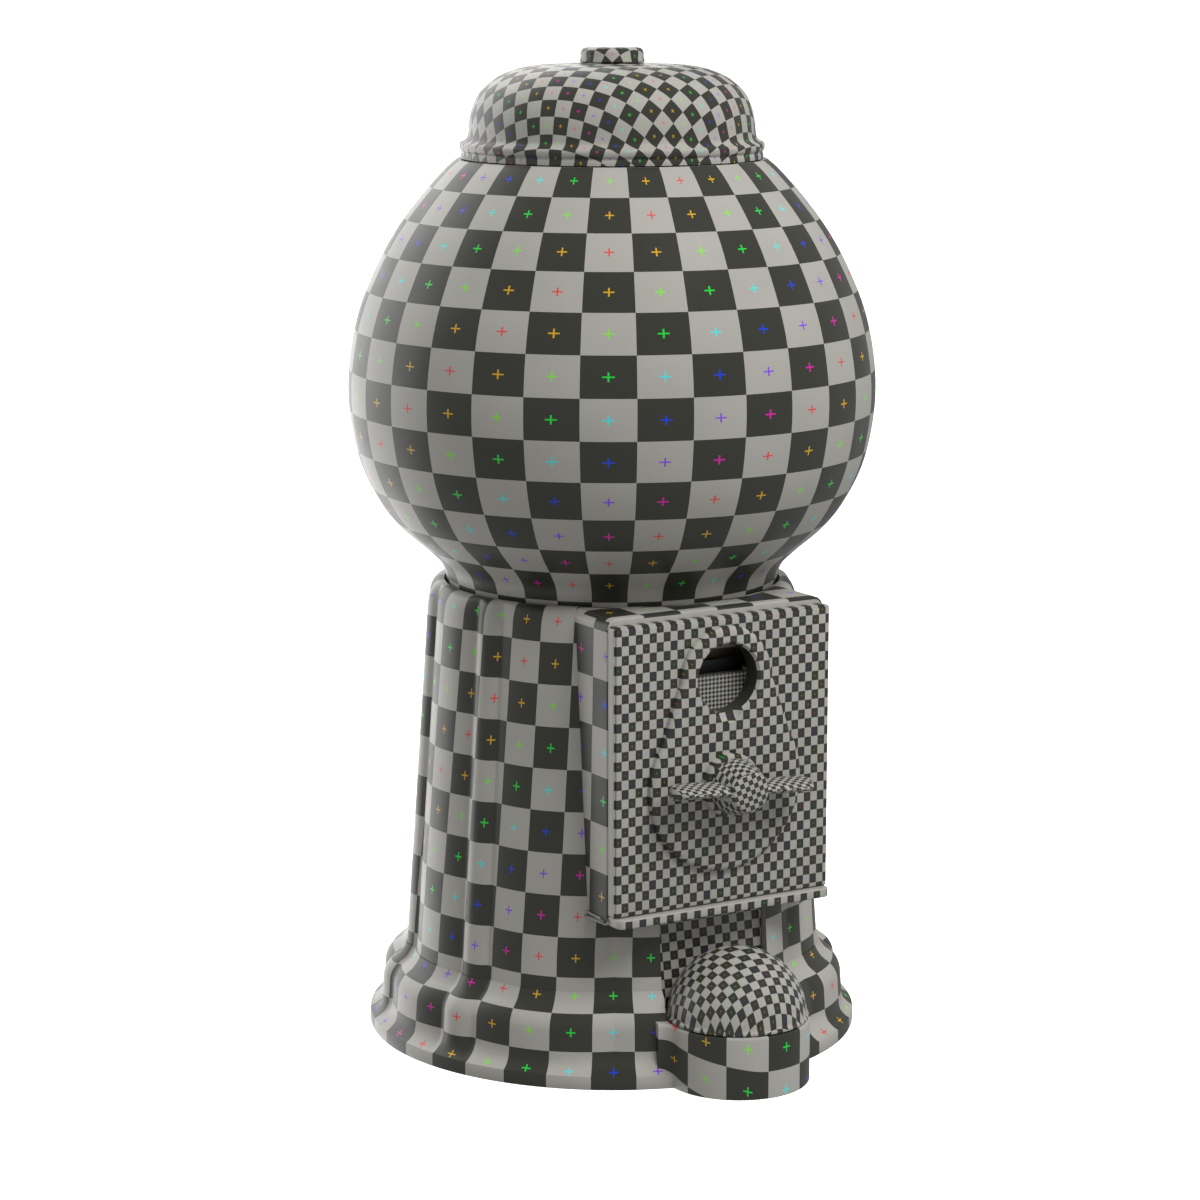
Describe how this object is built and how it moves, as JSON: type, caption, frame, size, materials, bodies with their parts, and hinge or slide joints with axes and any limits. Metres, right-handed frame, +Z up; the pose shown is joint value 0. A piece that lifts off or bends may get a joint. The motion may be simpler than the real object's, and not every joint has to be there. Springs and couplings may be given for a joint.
{
  "type": "gumball machine",
  "caption": "Countertop gumball machine with a ribbed cast body, round globe, lift-off lid, turn handle behind a coin window, geared dispensing wheel and domed chute door.",
  "frame": {"origin": "on the machine's vertical axis at the floor, in the mouth of the base plate's central bore", "axes": "+Z up, -Y towards the front plate and the chute door, +X to the right when facing the front"},
  "size_m": [0.2032, 0.2219, 0.381],
  "materials": {
    "body_enamel": "cast iron body under a satin printed enamel of squares",
    "plate_print": "die-cast zinc, satin printed",
    "door_print": "pressed steel dome, satin printed",
    "handle_print": "die-cast zinc, satin printed",
    "coin_wheel_print": "steel disc, satin printed",
    "globe_print": "moulded globe with a satin printed skin",
    "lid_print": "spun steel, satin printed",
    "mill_steel": "grey primer on steel",
    "bright_steel": "zinc plated",
    "brass_gear": "machined",
    "nylon_white": "moulded nylon",
    "moulded_cream": "moulded styrene",
    "black_rubber": "moulded"
  },
  "bodies": {
    "stand": {"body_casting": "body_enamel", "base_plate": "mill_steel", "base_screws": "bright_steel", "rubber_feet": "black_rubber", "center_rod": "bright_steel", "rod_nut": "bright_steel", "rod_washer": "bright_steel", "lower_gasket": "black_rubber", "globe": "globe_print", "upper_gasket": "black_rubber", "hopper": "moulded_cream", "wheel_housing": "mill_steel", "housing_screws": "bright_steel", "outlet_guard": "mill_steel", "ball_chute": "moulded_cream", "chute_screws": "bright_steel", "chute_plate": "plate_print", "chute_plate_screws": "bright_steel", "door_hinge_pin": "bright_steel", "front_plate": "plate_print", "plate_screws": "bright_steel", "mech_frame": "mill_steel", "spacer_posts": "bright_steel", "mech_screws": "bright_steel", "pawl_post": "bright_steel", "pawl_spring": "bright_steel"},
    "drive": {"spindle": "bright_steel", "handle": "handle_print", "coin_wheel": "coin_wheel_print", "ratchet_wheel": "bright_steel", "drive_pinion": "brass_gear", "spindle_clip": "bright_steel"},
    "wheel": {"dispensing_wheel": "nylon_white", "agitator": "bright_steel"},
    "ratchet_pawl": {"pawl": "brass_gear"},
    "door": {"chute_door": "door_print"},
    "lid": {"lid": "lid_print"},
    "knob": {"lid_knob": "lid_print"}
  },
  "joints": [
    {"name": "handle_turn", "type": "hinge", "parent": "stand", "child": "drive", "pos_m": [0, -0.09, 0.112], "axis": [0, 1, 0], "continuous": true},
    {"name": "wheel_spin", "type": "hinge", "parent": "stand", "child": "wheel", "pos_m": [0, 0, 0.13], "axis": [0, 0, 1], "continuous": true},
    {"name": "pawl_swing", "type": "hinge", "parent": "stand", "child": "ratchet_pawl", "pos_m": [-0.00735, -0.0704, 0.1322], "axis": [0, -1, 0], "range_deg": [-12, 0], "stiffness_Nm_per_rad": 0.02},
    {"name": "door_swing", "type": "hinge", "parent": "stand", "child": "door", "pos_m": [0, -0.0756, 0.041], "axis": [-1, 0, 0], "range_deg": [0, 38]},
    {"name": "lid_lift", "type": "slide", "parent": "stand", "child": "lid", "axis": [0, 0, 1], "range_m": [0, 0.08]},
    {"name": "knob_turn", "type": "hinge", "parent": "lid", "child": "knob", "pos_m": [0, 0, 0.378], "axis": [0, 0, 1], "continuous": true}
  ],
  "couplings": [
    {"joint": "wheel_spin", "follows": "handle_turn", "ratio": 0.25}
  ]
}
